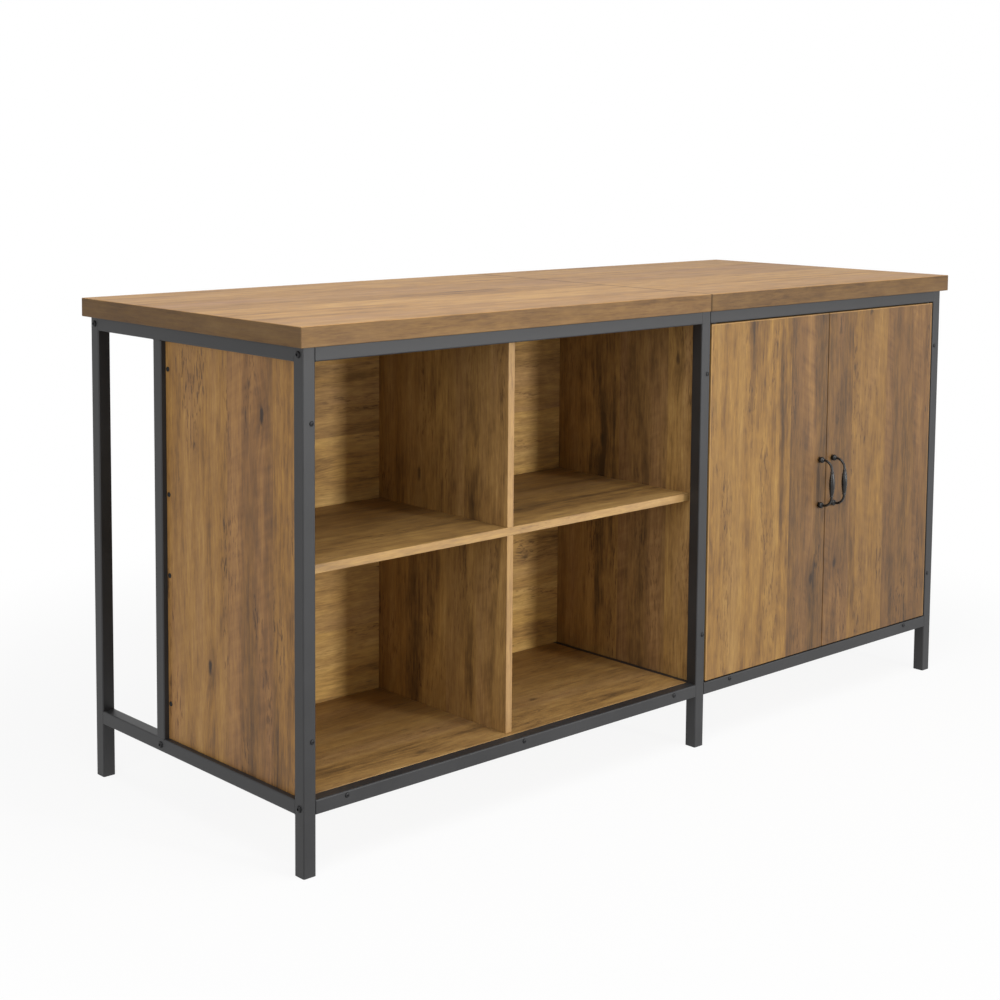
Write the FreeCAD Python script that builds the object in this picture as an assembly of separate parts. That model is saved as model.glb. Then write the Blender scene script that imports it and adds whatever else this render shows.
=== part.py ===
import FreeCAD, Part
import math
import os
from FreeCAD import Vector

# A long kitchen island. Three welded steel end frames are joined by lengthwise rails. The left bay is an
# open two by two set of compartments, the right bay is a cupboard behind two inset doors, and two thick
# worktop boards meet over the middle frame. Millimetres; +X runs along the island, +Y to its back and +Z
# up. The origin is on the floor at the middle of the island's footprint, handles included.

# Overall sizes
worktop_length = 1800.0
worktop_depth = 670.0
island_height = 900.0
worktop_thickness = 34.0
worktop_overhang = 12.0
worktop_arris = 1.0

# Steel tube frame
tube = 25.0
tube_wall = 1.5
tube_corner = 2.5
end_plate = 3.0
shelf_bay_length = 937.0
side_panel_width = 386.0
ground_clearance = 102.0
plug_flange = 4.0
plug_depth = 18.0

# Boards
board = 15.0
board_arris = 0.5
panel_recess = 10.0
shelf_setback = 10.0
divider_offset = 11.0
back_top_gap = 10.0
rail_notch_gap = 0.5

# Doors and their pivots
door_edge_gap = 2.0
hinge_gap = 4.5
meeting_gap = 2.0
door_arris = 0.8
pivot_inset = 12.0
pivot_radius = 3.0
pivot_running_gap = 0.05
pivot_depth = 11.0
pivot_head_radius = 4.5
pivot_head_height = 1.5
washer_radius = 5.0
bush_radius = 5.0
bush_length = 13.0
resting_gap = 0.3

# Handles
handle_spacing = 96.0
handle_edge_offset = 20.5
handle_reach = 32.0
handle_wire_radius = 2.5
handle_bend_radius = 21.0
handle_ball_radius = 6.5
handle_ball_centre = 5.0
grip_length = 54.0
grip_end_radius = 3.2
grip_middle_radius = 6.0
handle_thread_depth = 6.0

# Magnetic catch
catch_length = 46.0
catch_depth = 20.0
catch_height = 13.0
catch_corner = 1.5
catch_screw_inset = 5.0
catch_screw_setback = 5.0
magnet_width = 11.0
magnet_height = 8.0
magnet_depth = 10.0
magnet_spacing = 18.0
strike_width = 15.0
strike_height = 12.0
strike_thickness = 1.2

# Fasteners: shank radius, head radius, head height
frame_bolt = (3.0, 6.0, 3.2)
panel_screw = (2.0, 4.4, 2.2)
worktop_screw = (2.0, 3.5, 1.6)
handle_screw = (2.0, 3.8, 2.0)
catch_screw = (1.4, 2.6, 1.2)
recess_depth_share = 0.6
recess_reach_share = 0.55
recess_width_share = 0.2
socket_radius_share = 0.4
shank_gap = 0.1
bolt_grip = 8.0
panel_screw_grip = 22.0
worktop_screw_grip = 15.0
catch_screw_grip = 6.0
panel_screw_inset = 98.0
shelf_bay_screw_inset = 64.0
cupboard_screw_inset = 80.0
back_screw_inset = 65.0
worktop_screw_line = 19.5
worktop_screw_shares = (0.2, 0.8)

# Wooden dowels
dowel_radius = 4.0
dowel_gap = 0.1
dowel_bite = 20.0
dowel_blind_bite = 10.0
dowel_line_shares = (0.2, 0.8)
seam_dowel_shares = (0.15, 0.5, 0.85)

overrun = 1.0

# Places that follow from the sizes
frame_length = worktop_length - 2 * worktop_overhang
frame_depth = worktop_depth - 2 * worktop_overhang
handle_stand_out = handle_reach + grip_middle_radius
total_depth = handle_stand_out + frame_depth + worktop_overhang
front = handle_stand_out - total_depth / 2
rear = front + frame_depth
left = -frame_length / 2
right = left + frame_length
middle = left + tube + shelf_bay_length
underside = island_height - worktop_thickness
rail_top = (underside - tube, underside)
rail_low = (ground_clearance, ground_clearance + tube)
floor_top = rail_low[1]
panel_front = front + tube
panel_back = panel_front + side_panel_width
upright_span = (panel_back, panel_back + tube)
back_board_span = (panel_back - board, panel_back)
clear_height = underside - floor_top
compartment_height = (clear_height - board) / 2
shelf_span = (floor_top + compartment_height, floor_top + compartment_height + board)
shelf_front = panel_front + shelf_setback
panel_span = (rail_low[1], rail_top[0])
frames = {"left": left, "middle": middle, "right": right - tube}
panel_faces = {
    "left": (left + panel_recess, left + panel_recess + board),
    "middle": (middle + panel_recess, middle + panel_recess + board),
    "right": (right - panel_recess - board, right - panel_recess),
}
bays = {
    "shelf_bay": ("left", "middle", shelf_bay_screw_inset),
    "cupboard": ("middle", "right", cupboard_screw_inset),
}

nodes = {}


def box(x, y, z):
    """A plain block between (low, high) pairs."""
    return Part.makeBox(x[1] - x[0], y[1] - y[0], z[1] - z[0], Vector(x[0], y[0], z[0]))


def runs_along(edge, axis):
    """Whether a straight edge lies along one axis."""
    return round(abs(edge.tangentAt(edge.FirstParameter).dot(axis))) == 1


def square_tube(axis, x, y, z, closed=False):
    """A hollow square tube; a closed one has a plate welded inside each end."""
    spans = {"x": x, "y": y, "z": z}
    along = {"x": Vector(1, 0, 0), "y": Vector(0, 1, 0), "z": Vector(0, 0, 1)}[axis]
    outer = box(x, y, z)
    outer = outer.makeFillet(tube_corner, [edge for edge in outer.Edges if runs_along(edge, along)])
    hollow = {}
    for name, (low, high) in spans.items():
        inset = tube_wall
        if name == axis:
            inset = end_plate if closed else -overrun
        hollow[name] = (low + inset, high - inset)
    return outer.cut(box(hollow["x"], hollow["y"], hollow["z"]))


def wood_board(x, y, z, arris=board_arris):
    """A board with its sharp edges just taken off."""
    block = box(x, y, z)
    return block.makeChamfer(arris, block.Edges)


def rod(start, direction, radius, length):
    """A round bar or hole from a point along a direction."""
    return Part.makeCylinder(radius, length, start, direction)


def drill(name, holes):
    """Cut a list of holes out of a node."""
    nodes[name] = nodes[name].cut(holes)


def fastener(size, shank_length, socket):
    """A screw pointing along +Z with the seat of its head at zero; its head has a cross or a hex socket."""
    shank_radius, head_radius, head_height = size
    head = Part.makeCylinder(head_radius, head_height, Vector(0, 0, -head_height))
    rim = [edge for edge in head.Edges if edge.BoundBox.ZMax < -head_height / 2]
    head = head.makeFillet(head_height / 2, rim)
    recess_depth = head_height * recess_depth_share
    low = -head_height - overrun
    if socket == "hex":
        reach = head_radius * socket_radius_share
        corners = [
            Vector(reach * math.cos(step * math.pi / 3), reach * math.sin(step * math.pi / 3), low)
            for step in range(7)
        ]
        hexagon = Part.Face(Part.makePolygon(corners))
        recess = hexagon.extrude(Vector(0, 0, recess_depth + overrun))
    else:
        reach = head_radius * recess_reach_share
        half = head_radius * recess_width_share / 2
        depth = (low, -head_height + recess_depth)
        bars = [box((-reach, reach), (-half, half), depth), box((-half, half), (-reach, reach), depth)]
        recess = bars[0].fuse(bars[1])
    shank = Part.makeCylinder(shank_radius, shank_length)
    return head.cut(recess).fuse(shank).removeSplitter()


def place(shape, seat, direction):
    """A copy of a fastener with its head seated at a point and its shank along a direction."""
    turned = shape.copy()
    turned.Placement = FreeCAD.Placement(seat, FreeCAD.Rotation(Vector(0, 0, 1), direction))
    return turned


def fasten(group, size, shank_length, socket, seats, holes):
    """Add fasteners at (seat, direction) places, and their clearance holes in the nodes that they pass."""
    shape = fastener(size, shank_length, socket)
    groups.setdefault(group, [])
    for seat, direction in seats:
        groups[group].append(place(shape, seat, direction))
    bores = [rod(seat, direction, size[0] + shank_gap, shank_length + shank_gap) for seat, direction in seats]
    for name in holes:
        drill(name, bores)


def add_dowels(dowels, holes):
    """Add dowels given as (start, direction, length), and their holes in the nodes that they join."""
    groups.setdefault("board_dowels", [])
    for start, direction, length in dowels:
        groups["board_dowels"].append(rod(start, direction, dowel_radius, length))
    bores = [
        rod(start - direction * dowel_gap, direction, dowel_radius + dowel_gap, length + 2 * dowel_gap)
        for start, direction, length in dowels
    ]
    for name in holes:
        drill(name, bores)


def spread(low, high, shares):
    """Places at given shares of the way from low to high."""
    return [low + (high - low) * share for share in shares]


TO_RIGHT = Vector(1, 0, 0)
TO_LEFT = Vector(-1, 0, 0)
TO_REAR = Vector(0, 1, 0)
TO_FRONT = Vector(0, -1, 0)
UP = Vector(0, 0, 1)
DOWN = Vector(0, 0, -1)
groups = {}


def build_end_frames():
    """Front and rear legs, side rails and the upright of each welded end frame."""
    for name, x in frames.items():
        width = (x, x + tube)
        between_legs = (front + tube, rear - tube)
        nodes[name + "_front_leg"] = square_tube("z", width, (front, front + tube), (plug_flange, underside))
        nodes[name + "_rear_leg"] = square_tube("z", width, (rear - tube, rear), (plug_flange, underside))
        nodes[name + "_top_side_rail"] = square_tube("y", width, between_legs, rail_top)
        nodes[name + "_low_side_rail"] = square_tube("y", width, between_legs, rail_low)
        nodes[name + "_upright"] = square_tube("z", width, upright_span, panel_span)


def build_foot_plugs():
    """A plastic plug in the foot of each leg, with a flange that stands on the floor."""
    inset = tube_wall + shank_gap
    plugs = []
    for x in frames.values():
        for y in (front, rear - tube):
            flange = box((x, x + tube), (y, y + tube), (0, plug_flange))
            flange = flange.makeFillet(tube_corner, [edge for edge in flange.Edges if runs_along(edge, UP)])
            stem = box(
                (x + inset, x + tube - inset), (y + inset, y + tube - inset), (plug_flange, plug_depth)
            )
            plugs.append(flange.fuse(stem))
    groups["foot_plugs"] = plugs


def build_long_rails():
    """Front and rear rails between the end frames, closed by the plates that the bolts go into."""
    for bay, (start, end, _) in bays.items():
        run = (frames[start] + tube, frames[end])
        nodes[bay + "_front_top_rail"] = square_tube("x", run, (front, front + tube), rail_top, closed=True)
        nodes[bay + "_front_low_rail"] = square_tube("x", run, (front, front + tube), rail_low, closed=True)
        nodes[bay + "_rear_top_rail"] = square_tube("x", run, (rear - tube, rear), rail_top, closed=True)
        nodes[bay + "_back_low_rail"] = square_tube("x", run, upright_span, rail_low, closed=True)


def build_worktop():
    """Two thick boards that meet over the middle frame."""
    seam = middle + tube / 2
    depth = (front - worktop_overhang, rear + worktop_overhang)
    height = (underside, island_height)
    nodes["worktop_left"] = wood_board((left - worktop_overhang, seam), depth, height, worktop_arris)
    nodes["worktop_right"] = wood_board((seam, right + worktop_overhang), depth, height, worktop_arris)
    dowels = [
        (Vector(seam - dowel_bite, y, underside + worktop_thickness / 2), TO_RIGHT, 2 * dowel_bite)
        for y in spread(depth[0], depth[1], seam_dowel_shares)
    ]
    add_dowels(dowels, ["worktop_left", "worktop_right"])


def build_side_panels():
    """The three upright boards that fill the end frames in front of the uprights."""
    for name, face in panel_faces.items():
        nodes[name + "_side_panel"] = wood_board(face, (panel_front, panel_back), panel_span)


def build_bay_boards():
    """Bottom board, middle shelf and two back boards of each bay."""
    for bay, (start, end, _) in bays.items():
        inner = (panel_faces[start][1], panel_faces[end][0])
        between_rails = (frames[start] + tube, frames[end])
        nodes[bay + "_bottom"] = wood_board(
            between_rails, (panel_front, panel_back), (floor_top - board, floor_top)
        )
        nodes[bay + "_shelf"] = wood_board(inner, (shelf_front, panel_back), shelf_span)
        nodes[bay + "_lower_back"] = wood_board(inner, back_board_span, (floor_top, shelf_span[0]))
        nodes[bay + "_upper_back"] = wood_board(
            inner, back_board_span, (shelf_span[1], underside - back_top_gap)
        )


def notch_back_boards():
    """Clear the middle top side rail, which stands proud of the recessed face of the middle panel."""
    notch = box(
        (middle - rail_notch_gap, middle + tube + rail_notch_gap),
        (back_board_span[0] - overrun, back_board_span[1] + overrun),
        (rail_top[0] - rail_notch_gap, underside),
    )
    drill("shelf_bay_upper_back", [notch])


def build_dividers():
    """Two upright boards, above and below the shelf, that part the open bay a little left of its middle."""
    line = (panel_faces["left"][1] + panel_faces["middle"][0]) / 2 - divider_offset
    width = (line - board / 2, line + board / 2)
    depth = (shelf_front, back_board_span[0])
    nodes["lower_divider"] = wood_board(width, depth, (floor_top, shelf_span[0]))
    nodes["upper_divider"] = wood_board(width, depth, (shelf_span[1], underside))
    lines = spread(depth[0], depth[1], dowel_line_shares)
    foot = floor_top - dowel_blind_bite
    feet = [(Vector(line, y, foot), UP, dowel_blind_bite + dowel_bite) for y in lines]
    crossings = [(Vector(line, y, shelf_span[0] - dowel_bite), UP, board + 2 * dowel_bite) for y in lines]
    add_dowels(feet, ["shelf_bay_bottom", "lower_divider"])
    add_dowels(crossings, ["lower_divider", "shelf_bay_shelf", "upper_divider"])


def dowel_shelves():
    """Dowels at the ends of both shelves; those in the middle panel go right through it."""
    height = (shelf_span[0] + shelf_span[1]) / 2
    lines = spread(shelf_front, back_board_span[0], dowel_line_shares)
    blind = dowel_blind_bite + dowel_bite
    left_start = panel_faces["left"][1] - dowel_blind_bite
    right_start = panel_faces["right"][0] - dowel_bite
    middle_start = panel_faces["middle"][0] - dowel_bite
    through = board + 2 * dowel_bite
    add_dowels(
        [(Vector(left_start, y, height), TO_RIGHT, blind) for y in lines],
        ["left_side_panel", "shelf_bay_shelf"],
    )
    add_dowels(
        [(Vector(middle_start, y, height), TO_RIGHT, through) for y in lines],
        ["shelf_bay_shelf", "middle_side_panel", "cupboard_shelf"],
    )
    add_dowels(
        [(Vector(right_start, y, height), TO_RIGHT, blind) for y in lines],
        ["right_side_panel", "cupboard_shelf"],
    )


def back_fixing_heights():
    """Heights of the two fixings in the end of each back board, keyed by board."""
    low = (floor_top, shelf_span[0])
    high = (shelf_span[1], underside - back_top_gap)
    return {
        "lower_back": (low[0] + back_screw_inset, low[1] - back_screw_inset),
        "upper_back": (high[0] + back_screw_inset, high[1] - back_screw_inset),
    }


def fix_back_boards():
    """Screws through the outer panels, and dowels through the middle one, into the back boards' ends."""
    y = (back_board_span[0] + back_board_span[1]) / 2
    for board_name, heights in back_fixing_heights().items():
        seats_left = [(Vector(panel_faces["left"][0], y, z), TO_RIGHT) for z in heights]
        seats_right = [(Vector(panel_faces["right"][1], y, z), TO_LEFT) for z in heights]
        length = board + panel_screw_grip
        shelf_name = "shelf_bay_" + board_name
        cupboard_name = "cupboard_" + board_name
        fasten("back_screws", panel_screw, length, "cross", seats_left, ["left_side_panel", shelf_name])
        fasten("back_screws", panel_screw, length, "cross", seats_right, ["right_side_panel", cupboard_name])
        start = panel_faces["middle"][0] - dowel_bite
        add_dowels(
            [(Vector(start, y, z), TO_RIGHT, board + 2 * dowel_bite) for z in heights],
            [shelf_name, "middle_side_panel", cupboard_name],
        )


def fix_side_panels():
    """Screws through the front legs and the uprights into the edges of the side panels."""
    heights = (panel_span[0] + panel_screw_inset, panel_span[1] - panel_screw_inset)
    length = tube + panel_screw_grip
    for name, face in panel_faces.items():
        x = (face[0] + face[1]) / 2
        from_front = [(Vector(x, front, z), TO_REAR) for z in heights]
        from_rear = [(Vector(x, upright_span[1], z), TO_FRONT) for z in heights]
        panel = name + "_side_panel"
        fasten("panel_screws", panel_screw, length, "cross", from_front, [name + "_front_leg", panel])
        fasten("panel_screws", panel_screw, length, "cross", from_rear, [name + "_upright", panel])


def fix_bottom_boards():
    """Screws through the low rails into the front and back edges of the bottom boards."""
    z = floor_top - board / 2
    length = tube + panel_screw_grip
    for bay, (start, end, inset) in bays.items():
        low, high = frames[start] + tube, frames[end]
        places = (low + inset, (low + high) / 2, high - inset)
        if bay == "cupboard":
            places = (places[0], places[2])
        from_front = [(Vector(x, front, z), TO_REAR) for x in places]
        from_rear = [(Vector(x, upright_span[1], z), TO_FRONT) for x in places]
        bottom = bay + "_bottom"
        fasten("bottom_screws", panel_screw, length, "cross", from_front, [bay + "_front_low_rail", bottom])
        fasten("bottom_screws", panel_screw, length, "cross", from_rear, [bay + "_back_low_rail", bottom])


def fix_worktop():
    """Screws up through the top rails into the worktop boards."""
    length = tube + worktop_screw_grip
    boards = {"shelf_bay": "worktop_left", "cupboard": "worktop_right"}
    for bay, (start, end, _) in bays.items():
        run = spread(frames[start] + tube, frames[end], worktop_screw_shares)
        lines = {"_front_top_rail": front + worktop_screw_line, "_rear_top_rail": rear - worktop_screw_line}
        for rail, y in lines.items():
            seats = [(Vector(x, y, rail_top[0]), UP) for x in run]
            fasten("worktop_screws", worktop_screw, length, "cross", seats, [bay + rail, boards[bay]])


def bolt_frames():
    """Bolts through the outer frames, and studs through the middle one, into the rails' end plates."""
    high = (rail_top[0] + rail_top[1]) / 2
    low = (rail_low[0] + rail_low[1]) / 2
    front_line = front + tube / 2
    rear_line = rear - tube / 2
    upright_line = (upright_span[0] + upright_span[1]) / 2
    joints = [
        ("_front_leg", "_front_top_rail", front_line, high),
        ("_front_leg", "_front_low_rail", front_line, low),
        ("_rear_leg", "_rear_top_rail", rear_line, high),
        ("_low_side_rail", "_back_low_rail", upright_line, low),
    ]
    length = tube + end_plate + bolt_grip
    bore = frame_bolt[0] + shank_gap
    groups["joining_studs"] = []
    for post, rail, y, z in joints:
        outer_left = [(Vector(left, y, z), TO_RIGHT)]
        outer_right = [(Vector(right, y, z), TO_LEFT)]
        fasten("frame_bolts", frame_bolt, length, "hex", outer_left, ["left" + post, "shelf_bay" + rail])
        fasten("frame_bolts", frame_bolt, length, "hex", outer_right, ["right" + post, "cupboard" + rail])
        start = Vector(middle - end_plate - bolt_grip, y, z)
        stud_length = tube + 2 * (end_plate + bolt_grip)
        groups["joining_studs"].append(rod(start, TO_RIGHT, frame_bolt[0], stud_length))
        for name in ("middle" + post, "shelf_bay" + rail, "cupboard" + rail):
            drill(name, [rod(start, TO_RIGHT, bore, stud_length)])


def door_spans():
    """Left and right limits of each door, keyed by its side."""
    opening = (middle + tube + hinge_gap, right - tube - hinge_gap)
    centre = (opening[0] + opening[1]) / 2
    return {
        "left": (opening[0], centre - meeting_gap / 2),
        "right": (centre + meeting_gap / 2, opening[1]),
    }


def pivot_places():
    """The X of each door's pivot axis, keyed by its side."""
    spans = door_spans()
    return {"left": spans["left"][0] + pivot_inset, "right": spans["right"][1] - pivot_inset}


def build_doors():
    """Two inset doors, each with a bush in its top and bottom edge for the pivot pins."""
    height = (rail_low[1] + door_edge_gap, rail_top[0] - door_edge_gap)
    y = front + board / 2
    pins = []
    washer = door_edge_gap - resting_gap
    for side, x in pivot_places().items():
        door = side + "_door"
        nodes[door] = wood_board(door_spans()[side], (front, front + board), height, door_arris)
        bushes = []
        for edge, inward, rail_face, rail in (
            (height[0], UP, rail_low[1], "cupboard_front_low_rail"),
            (height[1], DOWN, rail_top[0], "cupboard_front_top_rail"),
        ):
            seat = Vector(x, y, edge)
            on_rail = Vector(x, y, rail_face)
            bush_bore = bush_radius + shank_gap
            drill(door, [rod(seat - inward * overrun, inward, bush_bore, bush_length + overrun)])
            bush = rod(seat, inward, bush_radius, bush_length)
            bushes.append(bush.cut(rod(seat, inward, pivot_radius + pivot_running_gap, bush_length)))
            pin_start = on_rail - inward * tube_wall
            head = rod(pin_start - inward * pivot_head_height, inward, pivot_head_radius, pivot_head_height)
            shaft = rod(pin_start, inward, pivot_radius, tube_wall + door_edge_gap + pivot_depth)
            collar = rod(on_rail, inward, washer_radius, washer)
            pins.append(head.fuse([shaft, collar]).removeSplitter())
            drill(rail, [rod(pin_start - inward * overrun, inward, pivot_radius + shank_gap, tube_wall * 2)])
        groups[side + "_door_bushes"] = bushes
    groups["pivot_pins"] = pins


def handle_places():
    """The X of each door's handle, keyed by its side."""
    spans = door_spans()
    return {"left": spans["left"][1] - handle_edge_offset, "right": spans["right"][0] + handle_edge_offset}


def build_handle(x):
    """A cast bail pull: two balls on the door, a bent wire and a thicker grip in the middle of it."""
    centre = (panel_span[0] + panel_span[1]) / 2
    half = handle_spacing / 2
    out = front - handle_reach
    bend_start = out + handle_bend_radius
    shoulder = half - handle_bend_radius
    shrink = handle_bend_radius * (1 - math.sqrt(0.5))

    def at(y, z):
        return Vector(x, y, centre + z)

    def bend(sign):
        return Part.Arc(
            at(bend_start, sign * half), at(out + shrink, sign * (half - shrink)), at(out, sign * shoulder)
        ).toShape()

    path = Part.Wire([
        Part.makeLine(at(front, half), at(bend_start, half)),
        bend(1),
        Part.makeLine(at(out, shoulder), at(out, -shoulder)),
        bend(-1),
        Part.makeLine(at(bend_start, -half), at(front, -half)),
    ])
    section = Part.Wire(Part.makeCircle(handle_wire_radius, at(front, half), TO_REAR))
    wire = path.makePipeShell([section], True, False)
    ends = (Vector(x + grip_end_radius, out, centre - grip_length / 2),
            Vector(x + grip_end_radius, out, centre + grip_length / 2))
    belly = Part.Arc(ends[0], Vector(x + grip_middle_radius, out, centre), ends[1]).toShape()
    profile = Part.Wire([
        Part.makeLine(at(out, -grip_length / 2), ends[0]),
        belly,
        Part.makeLine(ends[1], at(out, grip_length / 2)),
        Part.makeLine(at(out, grip_length / 2), at(out, -grip_length / 2)),
    ])
    grip = Part.Face(profile).revolve(at(out, 0), UP, 360)
    balls = [
        Part.makeSphere(handle_ball_radius, at(front - handle_ball_centre, sign * half)) for sign in (1, -1)
    ]
    beyond_door = box(
        (x - handle_ball_radius * 2, x + handle_ball_radius * 2),
        (front, front + handle_ball_radius * 2),
        (centre - handle_spacing, centre + handle_spacing),
    )
    return wire.fuse([grip] + balls).cut(beyond_door).removeSplitter()


def fit_handles():
    """A pull on each door, held by two screws from behind."""
    centre = (panel_span[0] + panel_span[1]) / 2
    for side, x in handle_places().items():
        handle = side + "_handle"
        nodes[handle] = build_handle(x)
        seats = [
            (Vector(x, front + board, centre + sign * handle_spacing / 2), TO_FRONT) for sign in (1, -1)
        ]
        length = board + handle_thread_depth
        fasten(side + "_handle_screws", handle_screw, length, "cross", seats, [side + "_door", handle])


def build_catch():
    """A double magnetic catch under the front top rail, with a steel strike plate on each door."""
    spans = door_spans()
    centre = (spans["left"][1] + spans["right"][0]) / 2
    face = front + board + strike_thickness + resting_gap
    top = rail_top[0]
    body = box(
        (centre - catch_length / 2, centre + catch_length / 2),
        (face, face + catch_depth),
        (top - catch_height, top),
    )
    body = body.makeFillet(catch_corner, [edge for edge in body.Edges if runs_along(edge, UP)])
    nodes["catch_body"] = body
    middle_height = top - catch_height / 2
    magnets = []
    for sign in (-1, 1):
        x = centre + sign * magnet_spacing / 2
        across = (x - magnet_width / 2, x + magnet_width / 2)
        tall = (middle_height - magnet_height / 2, middle_height + magnet_height / 2)
        magnets.append(box(across, (face, face + magnet_depth), tall))
        drill("catch_body", [box(across, (face - overrun, face + magnet_depth), tall)])
    groups["catch_magnets"] = magnets
    seats = [
        (Vector(centre + sign * (catch_length / 2 - catch_screw_inset), face + catch_screw_setback,
                top - catch_height), UP)
        for sign in (-1, 1)
    ]
    length = catch_height + catch_screw_grip
    holes = ["catch_body", "cupboard_front_top_rail"]
    fasten("catch_screws", catch_screw, length, "cross", seats, holes)
    for side, sign in (("left", -1), ("right", 1)):
        x = centre + sign * magnet_spacing / 2
        tall = (middle_height - strike_height / 2, middle_height + strike_height / 2)
        y = front + board
        nodes[side + "_strike_plate"] = box(
            (x - strike_width / 2, x + strike_width / 2), (y, y + strike_thickness), tall
        )


def write_parts():
    """One STEP file for each sub-part."""
    for name, solids in groups.items():
        nodes[name] = Part.makeCompound(solids)
    os.makedirs("parts", exist_ok=True)
    for name, shape in nodes.items():
        shape.exportStep("parts/" + name + ".step")
    print(len(nodes), "sub-parts,", sum(len(shape.Solids) for shape in nodes.values()), "solids")


build_end_frames()
build_foot_plugs()
build_long_rails()
build_worktop()
build_side_panels()
build_bay_boards()
notch_back_boards()
build_dividers()
dowel_shelves()
fix_back_boards()
fix_side_panels()
fix_bottom_boards()
fix_worktop()
bolt_frames()
build_doors()
fit_handles()
build_catch()
write_parts()
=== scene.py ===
import math
import bmesh
import bpy
from collections import namedtuple
from mathutils import Matrix, Vector


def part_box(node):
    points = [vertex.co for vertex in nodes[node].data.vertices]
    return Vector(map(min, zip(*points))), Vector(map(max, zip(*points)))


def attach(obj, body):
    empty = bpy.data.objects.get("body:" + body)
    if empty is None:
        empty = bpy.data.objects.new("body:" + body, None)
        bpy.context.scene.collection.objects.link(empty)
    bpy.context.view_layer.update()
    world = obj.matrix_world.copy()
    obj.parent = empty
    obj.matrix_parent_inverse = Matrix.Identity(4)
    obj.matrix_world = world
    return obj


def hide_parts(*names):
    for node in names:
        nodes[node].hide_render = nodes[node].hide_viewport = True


# The looks of a long kitchen island: black steel tube frames, oak-print laminate boards, an open two by two
# set of compartments and a cupboard with two bail pulls. Metres; +X runs along the island, +Y to its back.

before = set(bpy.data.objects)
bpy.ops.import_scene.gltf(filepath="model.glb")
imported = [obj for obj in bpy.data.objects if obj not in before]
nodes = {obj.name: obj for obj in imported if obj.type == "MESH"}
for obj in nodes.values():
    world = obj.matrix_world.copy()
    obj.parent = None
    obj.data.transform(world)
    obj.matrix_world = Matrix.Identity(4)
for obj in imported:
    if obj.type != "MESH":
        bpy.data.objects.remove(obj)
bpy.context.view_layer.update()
materials = {}


# Shader and geometry trees written as Python expressions

class Term:
    """A socket of a node tree that takes part in Python expressions."""

    def __init__(self, tree, socket):
        self.tree = tree
        self.socket = socket

    def math(self, operation, *others):
        """A Math node over this term and others."""
        return self.tree.math(operation, self, *others)

    def output(self, name):
        """Another output of the node that this one comes from."""
        return Term(self.tree, self.socket.node.outputs[name])

    def __add__(self, other):
        return self.math("ADD", other)

    def __sub__(self, other):
        return self.math("SUBTRACT", other)

    def __rsub__(self, other):
        return self.tree.math("SUBTRACT", other, self)

    def __mul__(self, other):
        return self.math("MULTIPLY", other)

    def __truediv__(self, other):
        return self.math("DIVIDE", other)

    def __rtruediv__(self, other):
        return self.tree.math("DIVIDE", other, self)

    __radd__ = __add__
    __rmul__ = __mul__

    def __lt__(self, other):
        return self.math("LESS_THAN", other)

    def __gt__(self, other):
        return self.math("GREATER_THAN", other)

    def clamp(self):
        """This term held between nought and one."""
        return self.tree.node("ShaderNodeClamp", {}, {"Value": self})

    def at_most(self, other):
        return self.math("MINIMUM", other)

    def span(self, low, high):
        """Nought below low, one above high and a smooth step between them."""
        inputs = {"Value": self, "From Min": low, "From Max": high}
        return self.tree.node("ShaderNodeMapRange", {"interpolation_type": "SMOOTHSTEP"}, inputs)


class Tree:
    """A node tree whose nodes come from one method."""

    def __init__(self, node_tree):
        self.made = node_tree

    def node(self, kind, settings, inputs, output=0):
        """A node with its settings made first, then its sockets' values or links."""
        new = self.made.nodes.new(kind)
        for key, value in settings.items():
            if key == "stops":
                self.set_stops(new.color_ramp, value)
            else:
                setattr(new, key, value)
        for key, value in inputs.items():
            if isinstance(value, Term):
                self.made.links.new(value.socket, new.inputs[key])
            else:
                new.inputs[key].default_value = value
        return Term(self, new.outputs[output]) if new.outputs else None

    def set_stops(self, ramp, stops):
        """Colour stops as (place, colour) pairs."""
        while len(ramp.elements) < len(stops):
            ramp.elements.new(1.0)
        for element, (place, colour) in zip(ramp.elements, stops):
            element.position = place
            element.color = colour

    def math(self, operation, *terms):
        """A Math node over terms and numbers, in their order."""
        return self.node("ShaderNodeMath", {"operation": operation}, dict(enumerate(terms)))

    def vector(self, x, y, z):
        return self.node("ShaderNodeCombineXYZ", {}, {0: x, 1: y, 2: z})


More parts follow.
